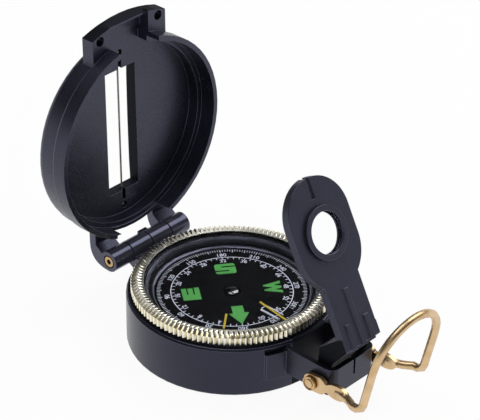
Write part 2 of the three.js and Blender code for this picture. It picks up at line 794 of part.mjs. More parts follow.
// Thumb loop, about the cross pin: two pierced ends with oval lobes and one wire bow
function loopEnd(side) {
  const eye = new THREE.Shape();
  eye.absarc(0, 0, EYE_R, -Math.PI / 2, Math.PI / 2, false);
  eye.absarc(-EYE_L, 0, EYE_R, Math.PI / 2, Math.PI * 1.5, false);
  eye.closePath();
  const lobe = new THREE.Shape().absellipse(-LOBE_AT, 0, LOBE_L, LOBE_W, 0, Math.PI * 2);
  const neck = outline([[-LOBE_AT, -NECK_HALF], [0, -NECK_HALF], [0, NECK_HALF], [-LOBE_AT, NECK_HALF]]);
  const [x0] = between(side * EYE_IN, side * (EYE_IN + EYE_T));
  const parts = [eye, lobe, neck].map((shape) => {
    const flat = extruded(shape, EYE_T).rotateZ(-rad(LOOP_LIFT));
    return solid(flat.applyMatrix4(TURN_TO_SIDE).translate(x0, 0, 0));
  });
  return join(...parts);
}

function alongArm(x, distance) {
  const lift = rad(LOOP_LIFT);
  return new THREE.Vector3(x, -distance * Math.cos(lift), distance * Math.sin(lift));
}

function upBow(x, height) {
  const lean = rad(BOW_LEAN);
  const bend = alongArm(x, LOOP_ARM);
  return bend.add(new THREE.Vector3(0, -height * Math.sin(lean), height * Math.cos(lean)));
}

function bowCurve() {
  const half = BRACKET_HALF + LOOP_FLARE;
  const start = EYE_IN + EYE_T / 2;
  const arch = BOW_H - half;
  const side = [
    alongArm(start, LOBE_AT),
    alongArm((start + half) / 2, (LOBE_AT + LOOP_ARM) / 2),
    alongArm(half, LOOP_ARM - LOOP_BEND),
    alongArm(half, LOOP_ARM - LOOP_BEND / 4),
    upBow(half, LOOP_BEND / 2),
    upBow(half, LOOP_BEND),
    upBow(half, (LOOP_BEND + arch) / 2),
  ];
  for (let angle = 0; angle < 90; angle += 15) {
    side.push(upBow(half * Math.cos(rad(angle)), arch + half * Math.sin(rad(angle))));
  }
  const other = side.map((p) => new THREE.Vector3(-p.x, p.y, p.z)).reverse();
  return new THREE.CatmullRomCurve3([...side, upBow(0, BOW_H), ...other]);
}

function thumbLoop() {
  const section = new THREE.Shape().absarc(0, 0, LOOP_WIRE_R, 0, Math.PI * 2);
  const options = { steps: FINE, bevelEnabled: false, extrudePath: bowCurve(), curveSegments: TINY / 2 };
  const bow = solid(new THREE.ExtrudeGeometry(section, options));
  const bore = rod(CROSS_R + GAP, -HEAD_IN, HEAD_IN, 0, 0);
  return cut(join(bow, ...mirrored(loopEnd)), bore);
}

function crossPin() {
  const end = HEAD_IN + HEAD_T;
  const heads = mirrored((side) => rod(HEAD_R, ...between(side * HEAD_IN, side * end), CROSS_Y, CROSS_Z));
  const groove = HEAD_R - HEAD_RIM;
  const rings = mirrored((side) => {
    const [x0, x1] = between(side * (end - HEAD_GROOVE_D), side * (end + PAST));
    return cut(rod(groove, x0, x1, CROSS_Y, CROSS_Z), rod(groove - HEAD_GROOVE, x0, x1, CROSS_Y, CROSS_Z));
  });
  return cut(join(rod(CROSS_R, -end, end, CROSS_Y, CROSS_Z), ...heads), ...rings);
}

function hingePin() {
  return cut(
    rod(PIN_R, -BARREL_HALF, BARREL_HALF, HINGE_Y, HINGE_Z),
    rod(PIN_BORE_R, -BARREL_HALF - PAST, BARREL_HALF + PAST, HINGE_Y, HINGE_Z),
  );
}

const FINISHES = {
  black: { color: 0x1d1d24, roughness: 0.5, metalness: 0 },
  gloss: { color: 0x0c0c10, roughness: 0.15, metalness: 0 },
  clear: { color: 0xdfe8ee, roughness: 0.05, metalness: 0 },
  gold: { color: 0xd8c58c, roughness: 0.25, metalness: 1 },
  brass: { color: 0xc59a5c, roughness: 0.3, metalness: 1 },
  steel: { color: 0x9a9ca0, roughness: 0.35, metalness: 1 },
  yellow: { color: 0xe6cd5a, roughness: 0.5, metalness: 0 },
  ruby: { color: 0xa02040, roughness: 0.1, metalness: 0 },
  rubber: { color: 0x18181a, roughness: 0.8, metalness: 0 },
};

function addMesh(group, name, body, finish) {
  const mesh = new THREE.Mesh(surface(body), new THREE.MeshStandardMaterial(FINISHES[finish]));
  mesh.name = name;
  group.add(mesh);
  return mesh;
}

function fillCase(group) {
  const seat = WINDOW_LOW - SEAL_T;
  addMesh(group, 'base_case', baseCase(), 'black');
  addMesh(group, 'capsule_cup', capsuleCup(), 'gloss');
  addMesh(group, 'capsule_seal', ring(WINDOW_R - SEAL_W, WINDOW_R, seat, WINDOW_LOW, ROUND), 'rubber');
  addMesh(group, 'capsule_window', capsuleWindow(), 'clear').rotation.z = Math.PI;
  addMesh(group, 'fill_plug', disc(PLUG_R, CASE_FLOOR, CUP_BASE, PLUG_AT, 0, SMALL), 'brass');
  addMesh(group, 'pivot_post', pivotPost(), 'steel');
  const washer = ring(COLLAR_R + GAP, BEZEL_R - WASHER_IN, CASE_TOP, CASE_TOP + WASHER_T, ROUND);
  addMesh(group, 'bezel_washer', washer, 'steel');
  addMesh(group, 'hinge_pin', hingePin(), 'brass');
  addMesh(group, 'cross_pin', crossPin(), 'brass');
}

function fillCard(group) {
  addMesh(group, 'dial_card', ring(HUB_R + GAP, CARD_R, CARD_LOW, CARD_TOP, ROUND), 'black');
  addMesh(group, 'bearing_hub', bearingHub(), 'brass');
  addMesh(group, 'jewel_bearing', jewelCup(), 'ruby');
  addMesh(group, 'magnet_left', barMagnet(1), 'steel');
  addMesh(group, 'magnet_right', barMagnet(-1), 'steel');
}

function fillBezel(group) {
  addMesh(group, 'bezel_ring', bezelRing(), 'gold');
  addMesh(group, 'bezel_glass', disc(COLLAR_R, GLASS_LOW, GLASS_TOP, 0, 0, ROUND), 'clear');
  addMesh(group, 'index_line_long', indexLine(LONG_L, LONG_IN), 'yellow');
  addMesh(group, 'index_line_short', indexLine(SHORT_L, SHORT_IN), 'yellow').rotation.z = rad(INDEX_STEP);
}

function fillLid(group) {
  addMesh(group, 'lid_shell', lidShell(), 'black');
  addMesh(group, 'sight_wire', sightWire(), 'steel');
}

function fillLensArm(group) {
  const inner = LENS_R - GAP;
  addMesh(group, 'eyepiece_frame', eyepieceFrame(), 'black');
  addMesh(group, 'eyepiece_lens', eyepieceLens(), 'clear');
  addMesh(group, 'lens_ring', ring(inner, inner + RING_W, PLATE_TOP + GAP, RING_TOP, ROUND, LENS_AT), 'black');
}

const compass = new THREE.Group();
const card = new THREE.Group();
const bezel = new THREE.Group();
const lid = new THREE.Group();
const lensArm = new THREE.Group();
const loop = new THREE.Group();
compass.add(card, bezel, lid, lensArm, loop);

card.rotation.z = rad(CARD_AZIMUTH);
bezel.rotation.z = rad(INDEX_AZIMUTH);
lid.position.set(0, HINGE_Y, HINGE_Z);
lid.rotation.x = -rad(LID_OPEN);
lensArm.position.set(0, CROSS_Y, CROSS_Z);
lensArm.rotation.x = rad(ARM_RAISE);
loop.position.set(0, CROSS_Y, CROSS_Z);

fillCase(compass);
fillCard(card);
fillBezel(bezel);
fillLid(lid);
fillLensArm(lensArm);
addMesh(loop, 'thumb_loop', thumbLoop(), 'brass');

export default compass;
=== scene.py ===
"""Dresses the folding sighting compass: black case, plated bezel, printed dial, lens arm and brass loop."""

import logging
import math
from dataclasses import dataclass, field
from enum import Enum
from typing import Callable, Sequence

import bpy
from mathutils import Matrix, Vector


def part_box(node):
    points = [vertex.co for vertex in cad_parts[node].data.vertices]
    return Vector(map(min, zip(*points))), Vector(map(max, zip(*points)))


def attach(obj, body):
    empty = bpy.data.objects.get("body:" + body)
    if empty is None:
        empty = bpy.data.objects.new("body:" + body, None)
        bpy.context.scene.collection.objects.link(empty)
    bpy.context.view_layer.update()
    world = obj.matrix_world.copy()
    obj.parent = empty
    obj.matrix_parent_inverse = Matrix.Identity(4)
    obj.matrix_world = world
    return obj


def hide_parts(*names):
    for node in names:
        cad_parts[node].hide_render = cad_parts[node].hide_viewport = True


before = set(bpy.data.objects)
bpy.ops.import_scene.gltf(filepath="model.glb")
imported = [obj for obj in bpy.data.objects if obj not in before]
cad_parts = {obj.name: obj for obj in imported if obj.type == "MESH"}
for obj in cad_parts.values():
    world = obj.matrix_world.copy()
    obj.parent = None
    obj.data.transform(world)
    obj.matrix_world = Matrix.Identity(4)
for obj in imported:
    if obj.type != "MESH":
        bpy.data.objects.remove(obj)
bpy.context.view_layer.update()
MM = 0.001
FULL_TURN = 360
LOG = logging.getLogger("compass")

Colour = tuple[float, float, float]
Point = tuple[float, float, float]
Face = bpy.types.MeshPolygon
Piece = bpy.types.Object
Socket = bpy.types.NodeSocket


class Body(str, Enum):
    """The rigid bodies of the compass."""

    CASE = "case"
    CARD = "card"
    BEZEL = "bezel"
    LID = "lid"
    EYEPIECE = "eyepiece"
    LOOP = "loop"


class Slot(str, Enum):
    """Names of the record's finishes."""

    CASE = "case_black"
    CAPSULE = "capsule_black"
    CLEAR = "window_clear"
    BRASS = "plain_brass"
    STEEL = "plain_steel"
    GOLD = "bezel_gold"
    LOOP = "loop_brass"
    CARD = "card_black"


class Pick(str, Enum):
    """The parts of a mesh that can be selected by their place."""

    FACES = "FACE"
    POINTS = "VERT"


class Nodes:
    """A node tree, with the steps that the materials and the studio's world share."""

    def __init__(self, tree: bpy.types.NodeTree) -> None:
        """Empties the tree.

        Args:
            tree: The node tree to fill.
        """
        self.tree = tree
        self.tree.nodes.clear()

    def new(self, kind: str) -> bpy.types.Node:
        """Adds a node of a kind."""
        return self.tree.nodes.new(kind)

    def join(self, start: Socket, end: Socket) -> None:
        """Links two sockets."""
        self.tree.links.new(start, end)

    def feed(self, end: Socket, value: Socket | float) -> None:
        """Feeds a socket from another one, or sets it to a number.

        Args:
            end: The socket to feed.
            value: The other socket or the number.
        """
        if isinstance(value, float):
            end.default_value = value
        else:
            self.join(value, end)

    def math(self, kind: str, first: Socket, second: Socket | float = 0.0) -> Socket:
        """Adds one step of arithmetic.

        Args:
            kind: The operation's name.
            first: Its first value.
            second: Its second value.

        Returns:
            The result's socket.
        """
        node = self.new("ShaderNodeMath")
        node.operation = kind
        self.join(first, node.inputs[0])
        self.feed(node.inputs[1], second)
        return node.outputs["Value"]

    def blend(self, share: Socket, low: Socket | float, high: Socket | float) -> Socket:
        """Adds a step from one value to another.

        Args:
            share: 0 for the first value, 1 for the second.
            low: The first value.
            high: The second value.

        Returns:
            The blended value.
        """
        node = self.new("ShaderNodeMapRange")
        self.join(share, node.inputs["Value"])
        self.feed(node.inputs["To Min"], low)
        self.feed(node.inputs["To Max"], high)
        return node.outputs["Result"]

    def either(self, *rays: str) -> Socket:
        """Adds a test for one or more kinds of ray.

        Args:
            rays: The kinds of ray to test.

        Returns:
            A socket that is 1 for any of these rays.
        """
        path = self.new("ShaderNodeLightPath")
        total = path.outputs[rays[0]]
        for ray in rays[1:]:
            total = self.math("MAXIMUM", total, path.outputs[ray])
        return total

    def ramp(self, value: Socket, stops: Sequence[tuple[float, Colour]]) -> Socket:
        """Turns a value into colours.

        Args:
            value: The socket to read.
            stops: Places from 0 to 1, each with its colour.

        Returns:
            The colour socket.
        """
        node = self.new("ShaderNodeValToRGB")
        elements = node.color_ramp.elements
        for element, (place, colour) in zip(elements, (stops[0], stops[-1])):
            element.position = place
            element.color = (*colour, 1)
        for place, colour in stops[1:-1]:
            elements.new(place).color = (*colour, 1)
        self.join(value, node.inputs["Fac"])
        return node.outputs["Color"]


class Graph(Nodes):
    """A material's node tree with one main shader at its end."""

    noise_low = 0.3
    noise_high = 0.7

    def __init__(self, name: str) -> None:
        """Starts the tree.

        Args:
            name: The material's name.
        """
        self.material = bpy.data.materials.new(name)
        self.material.use_nodes = True
        super().__init__(self.material.node_tree)
        self.output = self.new("ShaderNodeOutputMaterial")
        self.shader = self.new("ShaderNodeBsdfPrincipled")
        self.join(self.shader.outputs["BSDF"], self.output.inputs["Surface"])
        self.place = self.new("ShaderNodeTexCoord").outputs["Object"]

    def set(self, **values: object) -> None:
        """Sets plain values on the shader's sockets, named with underscores for spaces."""
        for name, value in values.items():
            self.shader.inputs[name.replace("_", " ")].default_value = value

    def noise(self, scale: float, detail: float = 3.0) -> Socket:
        """Adds a noise pattern on the piece's own coordinates.

        Args:
            scale: Pattern cells to a metre.
            detail: Finer layers in the pattern.

        Returns:
            The noise's value socket.
        """
        node = self.new("ShaderNodeTexNoise")
        node.inputs["Scale"].default_value = scale
        node.inputs["Detail"].default_value = detail
        self.join(self.place, node.inputs["Vector"])
        return node.outputs["Fac"]

    def spread(self, value: Socket, low: float, high: float) -> Socket:
        """Maps the middle of a noise to a range.

        Args:
            value: The noise.
            low: Result at the noise's low end.
            high: Result at its high end.

        Returns:
            The mapped socket.
        """
        result = self.blend(value, low, high)
        result.node.inputs["From Min"].default_value = self.noise_low
        result.node.inputs["From Max"].default_value = self.noise_high
        return result

    def paint(self, colour: Socket, roughness: Socket) -> None:
        """Feeds the shader's colour and roughness."""
        self.join(colour, self.shader.inputs["Base Color"])
        self.join(roughness, self.shader.inputs["Roughness"])

    def emboss(self, height: Socket, strength: float, depth: float) -> None:
        """Feeds the shader's normal from a height.

        Args:
            height: The pattern.
            strength: Share of the effect.
            depth: Height of the pattern in metres.
        """
        node = self.new("ShaderNodeBump")
        node.inputs["Strength"].default_value = strength
        node.inputs["Distance"].default_value = depth
        self.join(height, node.inputs["Height"])
        self.join(node.outputs["Normal"], self.shader.inputs["Normal"])

    def mix(self, share: Socket, other: Socket) -> None:
        """Mixes a second shader into the material.

        Args:
            share: 0 for the main shader, 1 for the second one.
            other: The second shader.
        """
        node = self.new("ShaderNodeMixShader")
        self.join(share, node.inputs["Fac"])
        self.join(self.shader.outputs["BSDF"], node.inputs[1])
        self.join(other, node.inputs[2])
        self.join(node.outputs["Shader"], self.output.inputs["Surface"])


@dataclass(frozen=True)
class Moulding:
    """Black moulded plastic with a spark-eroded grain and a little handling sheen."""

    name: str
    dark: Colour
    light: Colour
    smooth: float = 0.22
    rough: float = 0.34
    grain: float = 4200.0
    depth: float = 0.000012
    shine: float = 0.75
    sheen: Colour = (0.64, 0.67, 1.0)
    cloud: float = 130.0
    dark_at: float = 0.3
    light_at: float = 0.72
    relief: float = 0.35

    def material(self) -> bpy.types.Material:
        """Makes the node material.

        Returns:
            The material.
        """
        graph = Graph(self.name)
        cloud = graph.noise(self.cloud, detail=4.0)
        grain = graph.noise(self.grain, detail=2.0)
        colour = graph.ramp(cloud, [(self.dark_at, self.dark), (self.light_at, self.light)])
        graph.paint(colour, graph.spread(grain, self.smooth, self.rough))
        graph.emboss(grain, self.relief, self.depth)
        graph.set(Specular_IOR_Level=self.shine, Specular_Tint=(*self.sheen, 1))
        return graph.material


@dataclass(frozen=True)
class Metal:
    """Metal with a drawn or plated surface: small stains, an uneven gloss and a soft bump."""

    name: str
    dark: Colour
    light: Colour
    smooth: float
    rough: float
    gloss: float = 900.0
    depth: float = 0.00001
    stain: float = 260.0
    dark_at: float = 0.28
    light_at: float = 0.6
    relief: float = 0.25

    def material(self) -> bpy.types.Material:
        """Makes the node material.

        Returns:
            The material.
        """
        graph = Graph(self.name)
        gloss = graph.noise(self.gloss)
        stains = graph.noise(self.stain, detail=5.0)
        colour = graph.ramp(stains, [(self.dark_at, self.dark), (self.light_at, self.light)])
        graph.paint(colour, graph.spread(gloss, self.smooth, self.rough))
        graph.emboss(gloss, self.relief, self.depth)
        graph.set(Metallic=1.0)
        return graph.material


@dataclass(frozen=True)
class Fluted:
    """Plated metal with painted shade in the valleys between its flutes."""

    name: str
    dirt: Colour
    dark: Colour
    light: Colour
    flutes: float = 120.0
    start: float = 0.0251
    stain: float = 420.0
    crest_share: float = 0.5
    dirt_at: float = 0.2
    dark_at: float = 0.46
    light_at: float = 0.8
    smooth: float = 0.19
    rough: float = 0.28

    def material(self) -> bpy.types.Material:
        """Makes the node material.

        Returns:
            The material.
        """
        graph = Graph(self.name)
        stains = graph.noise(self.stain, detail=4.0)
        level = graph.math("ADD", graph.math("MULTIPLY", self.crests(graph), self.crest_share), stains)
        # The darkest stop is painted shade in the flute valleys.
        stops = [(self.dirt_at, self.dirt), (self.dark_at, self.dark), (self.light_at, self.light)]
        graph.paint(graph.ramp(level, stops), graph.spread(stains, self.smooth, self.rough))
        graph.set(Metallic=1.0)
        return graph.material

    def crests(self, graph: Graph) -> Socket:
        """Finds the crests of the flutes by their angle round the dial.

        Args:
            graph: The material's node tree.

        Returns:
            A socket that is 1 on a crest and inside the flutes, and 0 in a valley.
        """
        parts = graph.new("ShaderNodeSeparateXYZ")
        graph.join(graph.place, parts.inputs["Vector"])
        x, y = parts.outputs["X"], parts.outputs["Y"]
        squares = graph.math("ADD", graph.math("MULTIPLY", x, x), graph.math("MULTIPLY", y, y))
        inside = graph.math("LESS_THAN", graph.math("SQRT", squares), self.start)
        turn = graph.math("MULTIPLY", graph.math("ARCTAN2", y, x), self.flutes)
        return graph.math("MAXIMUM", graph.math("COSINE", turn), inside)


@dataclass(frozen=True)
class Ink:
    """Printed or painted colour with a slightly uneven layer."""

    name: str
    thin: Colour
    full: Colour
    layer: float = 1800.0
    thin_at: float = 0.3
    full_at: float = 0.58
    smooth: float = 0.45
    rough: float = 0.62
    relief: float = 0.15
    depth: float = 0.000008
    shine: float = 0.3

    def material(self) -> bpy.types.Material:
        """Makes the node material.

        Returns:
            The material.
        """
        graph = Graph(self.name)
        layer = graph.noise(self.layer, detail=4.0)
        colour = graph.ramp(layer, [(self.thin_at, self.thin), (self.full_at, self.full)])
        graph.paint(colour, graph.spread(layer, self.smooth, self.rough))
        graph.emboss(layer, self.relief, self.depth)
        graph.set(Specular_IOR_Level=self.shine)
        return graph.material


@dataclass(frozen=True)
class CardStock:
    """Matt black card with a few pale dust specks."""

    name: str
    dark: Colour
    light: Colour
    speck: Colour
    dust: float = 1500.0
    cloud: float = 210.0
    dark_at: float = 0.2
    light_at: float = 0.86
    speck_at: float = 0.88
    smooth: float = 0.5
    rough: float = 0.7
    shine: float = 0.02

    def material(self) -> bpy.types.Material:
        """Makes the node material.

        Returns:
            The material.
        """
        graph = Graph(self.name)
        dust = graph.noise(self.dust, detail=1.0)
        cloud = graph.noise(self.cloud, detail=4.0)
        stops = [(self.dark_at, self.dark), (self.light_at, self.light), (self.speck_at, self.speck)]
        graph.paint(graph.ramp(dust, stops), graph.spread(cloud, self.smooth, self.rough))
        graph.set(Specular_IOR_Level=self.shine)
        return graph.material


@dataclass(frozen=True)
class Pane:
    """Clear glass or acrylic that lets lamps through to what lies behind it."""

    name: str
    tint: Colour
    bend: float = 1.05
    rough: float = 0.002
    smear: float = 90.0
    smeared: float = 3.0

    def material(self) -> bpy.types.Material:
        """Makes the node material.

        Returns:
            The material.
        """
        graph = Graph(self.name)
        smear = graph.noise(self.smear, detail=5.0)
        roughness = graph.spread(smear, self.rough, self.rough * self.smeared)
        graph.join(roughness, graph.shader.inputs["Roughness"])
        graph.set(Base_Color=(*self.tint, 1), IOR=self.bend, Transmission_Weight=1.0)
        clear = graph.new("ShaderNodeBsdfTransparent")
        clear.inputs["Color"].default_value = (*self.tint, 1)
        graph.mix(graph.either("Is Shadow Ray"), clear.outputs["BSDF"])
        return graph.material


Finish = Moulding | Metal | Fluted | Ink | CardStock | Pane

CASE_BLACK = Moulding("case_moulding", (0.006, 0.0064, 0.0095), (0.009, 0.0095, 0.014), shine=0.58)
LID_BLACK = Moulding("lid_moulding", (0.008, 0.0085, 0.013), (0.012, 0.0125, 0.019),
                     smooth=0.25, rough=0.42, grain=2600.0, depth=0.00007)
ARM_BLACK = Moulding("arm_moulding", (0.012, 0.0125, 0.019), (0.018, 0.019, 0.029),
                     smooth=0.31, rough=0.55, grain=2200.0, depth=0.00008)
# Painted highlight: a lighter, glossier black on the bevel faces of the broken edges, so that they show as
# bright lines.
EDGE_HIGHLIGHT_BLACK = Moulding("painted_edge_highlight", (0.014, 0.0145, 0.02), (0.024, 0.025, 0.034),
                      smooth=0.16, rough=0.3, shine=1.0)
# Painted highlight: a lighter, glossier black on the hinge barrel that brightens its reflected stripe.
BARREL_HIGHLIGHT_BLACK = Moulding("barrel_painted_highlight", (0.024, 0.025, 0.034), (0.038, 0.039, 0.052),
                        smooth=0.1, rough=0.17, shine=1.0)
# Painted shade: a near-black put where shade falls, inside the front bracket, on the sight slot's walls, on
# the thumb tab's outer side and under the arm's foot.
SHADE_PAINTED_BLACK = Moulding("painted_shade_wall", (0.003, 0.0032, 0.0045), (0.005, 0.0053, 0.0072),
                      smooth=0.5, rough=0.62, shine=0.13)
# Painted reflection: the capsule's glossy black wall gets a much lighter grey, standing in for the light it
# mirrors through the glass.
CAPSULE_REFLECTION_BLACK = Moulding("capsule_painted_reflection", (0.04, 0.041, 0.052), (0.09, 0.092, 0.115),
                         smooth=0.08, rough=0.16, grain=1600.0, depth=0.000002, shine=1.0)
SEAL_BLACK = Moulding("seal_rubber", (0.008, 0.008, 0.009), (0.016, 0.016, 0.017),
                      smooth=0.7, rough=0.85, grain=2400.0, depth=0.00002, shine=0.2)
# Painted shade: the first colour darkens the bezel's flute valleys.
GOLD = Fluted("bezel_plating", (0.03, 0.025, 0.012), (0.7, 0.62, 0.4), (0.95, 0.92, 0.8))
LOOP_BRASS = Metal("loop_brass", (0.58, 0.4, 0.21), (0.72, 0.52, 0.3),
                   smooth=0.27, rough=0.36, gloss=700.0, depth=0.000004)
PLAIN_BRASS = Metal("pin_brass", (0.46, 0.31, 0.15), (0.68, 0.48, 0.25), smooth=0.25, rough=0.42)
STEEL = Metal("bright_steel", (0.55, 0.56, 0.58), (0.72, 0.73, 0.75), smooth=0.12, rough=0.26)
DARK_STEEL = Metal("oiled_wire", (0.16, 0.15, 0.14), (0.3, 0.28, 0.26), smooth=0.3, rough=0.45)
POLISHED = Metal("polished_hub", (0.12, 0.12, 0.13), (0.2, 0.2, 0.21),
                 smooth=0.03, rough=0.06, gloss=600.0, depth=0.000001)
WHITE_INK = Ink("white_print", (0.42, 0.43, 0.52), (0.6, 0.62, 0.74))
GREEN_INK = Ink("green_print", (0.036, 0.2, 0.033), (0.048, 0.25, 0.045))
YELLOW_INK = Ink("index_paint", (0.62, 0.5, 0.05), (0.72, 0.6, 0.08))
CARD_BLACK = CardStock("card_stock", (0.003, 0.003, 0.004), (0.005, 0.005, 0.006), (0.3, 0.32, 0.27))
CLEAR = Pane("clear_pane", (0.985, 0.99, 0.99))
JEWEL = Pane("jewel_red", (0.6, 0.03, 0.08), bend=1.7, rough=0.05)


class Bench:
    """Operator steps that several sub-assemblies share."""

    made: dict[str, bpy.types.Material] = {}

    @staticmethod
    def clear() -> None:
        """Leaves edit mode and deselects everything."""
        if bpy.context.object is not None and bpy.context.object.mode != "OBJECT":
            bpy.ops.object.mode_set(mode="OBJECT")
        bpy.ops.object.select_all(action="DESELECT")

    @staticmethod
    def pick(piece: Piece) -> None:
        """Makes one object the only selected and active one.

        Args:
            piece: The object.
        """
        Bench.clear()
        piece.select_set(True)
        bpy.context.view_layer.objects.active = piece

    @staticmethod
    def settle(piece: Piece) -> None:
        """Applies a piece's place, turn and scale to its mesh."""
        Bench.pick(piece)
        bpy.ops.object.transform_apply(location=True, rotation=True, scale=True)

    @staticmethod
    def edit(piece: Piece, work: Callable[[], object]) -> None:
        """Runs edit-mode operators on all of a piece.

        Args:
            piece: The object to edit.
            work: The operators to run.
        """
        Bench.pick(piece)
        bpy.ops.object.mode_set(mode="EDIT")
        bpy.ops.mesh.select_mode(type=Pick.POINTS.value)
        bpy.ops.mesh.select_all(action="SELECT")
        work()
        bpy.ops.object.mode_set(mode="OBJECT")

    @staticmethod
    def edit_part(piece: Piece, kind: Pick, test: Callable[[Vector], bool],
                  work: Callable[[], object]) -> None:
        """Runs edit-mode operators on some of a piece's faces or points.

        Args:
            piece: The object to edit.
            kind: Whether faces or points are selected.
            test: Says by its place whether one is selected.
            work: The operators to run.
        """
        Bench.pick(piece)
        bpy.ops.object.mode_set(mode="EDIT")
        bpy.ops.mesh.select_mode(type=kind.value)
        bpy.ops.mesh.select_all(action="DESELECT")
        bpy.ops.object.mode_set(mode="OBJECT")
        by_face = kind is Pick.FACES
        for item in piece.data.polygons if by_face else piece.data.vertices:
            item.select = test(item.center if by_face else item.co)
        bpy.ops.object.mode_set(mode="EDIT")
        work()
        bpy.ops.object.mode_set(mode="OBJECT")

    @staticmethod
    def modify(piece: Piece, kind: str, **values: object) -> None:
        """Adds a modifier and applies it.

        Args:
            piece: The object to modify.
            kind: The modifier's type.
            values: Its settings.
        """
        Bench.pick(piece)
        modifier = piece.modifiers.new(kind.lower(), kind)
        for name, value in values.items():
            setattr(modifier, name, value)
        bpy.ops.object.modifier_apply(modifier=modifier.name)

    @staticmethod
    def thicken(piece: Piece, thickness: float) -> None:
        """Gives a flat piece a thickness, half to each side."""
        Bench.modify(piece, "SOLIDIFY", thickness=thickness, offset=0.0)

    @staticmethod
    def turn_out(piece: Piece) -> None:
        """Makes all of a piece's faces point outwards."""
        Bench.edit(piece, lambda: bpy.ops.mesh.normals_make_consistent(inside=False))

    @staticmethod
    def merge(name: str, pieces: Sequence[Piece]) -> Piece:
        """Joins several objects into one.

        Args:
            name: The joined object's name.
            pieces: The objects to join.

        Returns:
            The joined object.
        """
        Bench.clear()
        for piece in pieces:
            piece.select_set(True)
        bpy.context.view_layer.objects.active = pieces[0]
        bpy.ops.object.join()
        pieces[0].name = name
        return pieces[0]

    @staticmethod
    def smooth(piece: Piece, degrees: float) -> None:
        """Shades a piece smooth where its faces meet at less than an angle."""
        Bench.pick(piece)
        bpy.ops.object.shade_smooth_by_angle(angle=math.radians(degrees))

    @staticmethod
    def add_finish(piece: Piece, finish: Finish) -> int:
        """Adds a finish to a piece, making its material at its first use.

        Args:
            piece: The object.
            finish: The finish to add.

        Returns:
            The finish's place among the piece's materials.
        """
        if finish.name not in Bench.made:
            Bench.made[finish.name] = finish.material()
        piece.data.materials.append(Bench.made[finish.name])
        return len(piece.data.materials) - 1

    @staticmethod
    def coat(piece: Piece, finish: Finish) -> None:
        """Gives a piece one finish."""
        piece.data.materials.clear()
        Bench.add_finish(piece, finish)

    @staticmethod
    def coat_faces(piece: Piece, finish: Finish, test: Callable[[Face], bool]) -> None:
        """Gives some faces of a piece another finish.

        Args:
            piece: The finished object.
            finish: The finish of the chosen faces.
            test: Says whether a face is chosen.
        """
        place = Bench.add_finish(piece, finish)
        for face in piece.data.polygons:
            if test(face):
                face.material_index = place

    @staticmethod
    def coat_solid(node: str, finish: Finish) -> None:
        """Gives a solid that shows as it is its finish."""
        Bench.coat(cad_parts[node], finish)
        LOG.info("%s shows as a solid", node)

    @staticmethod
    def ride(piece: Piece, body: Body, slot: Slot) -> None:
        """Lets a dressed piece ride on its body.

        Args:
            piece: The dressed object.
            body: The body that carries it.
            slot: The record's slot for its finish; not used.
        """
        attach(piece, body.value)
        LOG.info("%s rides on %s", piece.name, body.value)


@dataclass(frozen=True)
class Softened:
    """A piece made from a solid, with its edges broken and its rounds shaded smooth, in millimetres."""

    node: str
    body: Body
    slot: Slot
    finish: Finish
    edge: float
    sharp: float = 34.0
    # Finish of the bevel faces, a painted highlight along the edges.
    worn: Finish | None = None
    clamp: bool = True
    steps: int = 3
    gap: float = 0.002
    flat: float = 0.4

    def build(self) -> Piece:
        """Copies the solid, merges it, breaks its edges and lets it stand for the solid.

        Returns:
            The finished piece.
        """
        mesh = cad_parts[self.node].data.copy()
        piece = bpy.data.objects.new(f"{self.node}_dressed", mesh)
        bpy.context.scene.collection.objects.link(piece)
        Bench.edit(piece, self.clean)
        if mesh.has_custom_normals:
            bpy.ops.mesh.customdata_custom_splitnormals_clear()
        Bench.coat(piece, self.finish)
        # The bevel faces take the painted edge highlight.
        edge_highlight_index = Bench.add_finish(piece, self.worn) if self.worn else -1
        if self.edge > 0:
            Bench.modify(piece, "BEVEL", width=self.edge * MM, segments=self.steps, limit_method="ANGLE",
                         angle_limit=math.radians(self.sharp), use_clamp_overlap=self.clamp, material=edge_highlight_index)
        Bench.smooth(piece, self.sharp)
        Bench.modify(piece, "WEIGHTED_NORMAL", mode="FACE_AREA", weight=100, keep_sharp=True)
        Bench.ride(piece, self.body, self.slot)
        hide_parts(self.node)
        return piece

    def clean(self) -> None:
        """Merges the loose triangles and dissolves the edges inside flat faces."""
        bpy.ops.mesh.remove_doubles(threshold=self.gap * MM)
        bpy.ops.mesh.dissolve_limited(angle_limit=math.radians(self.flat))


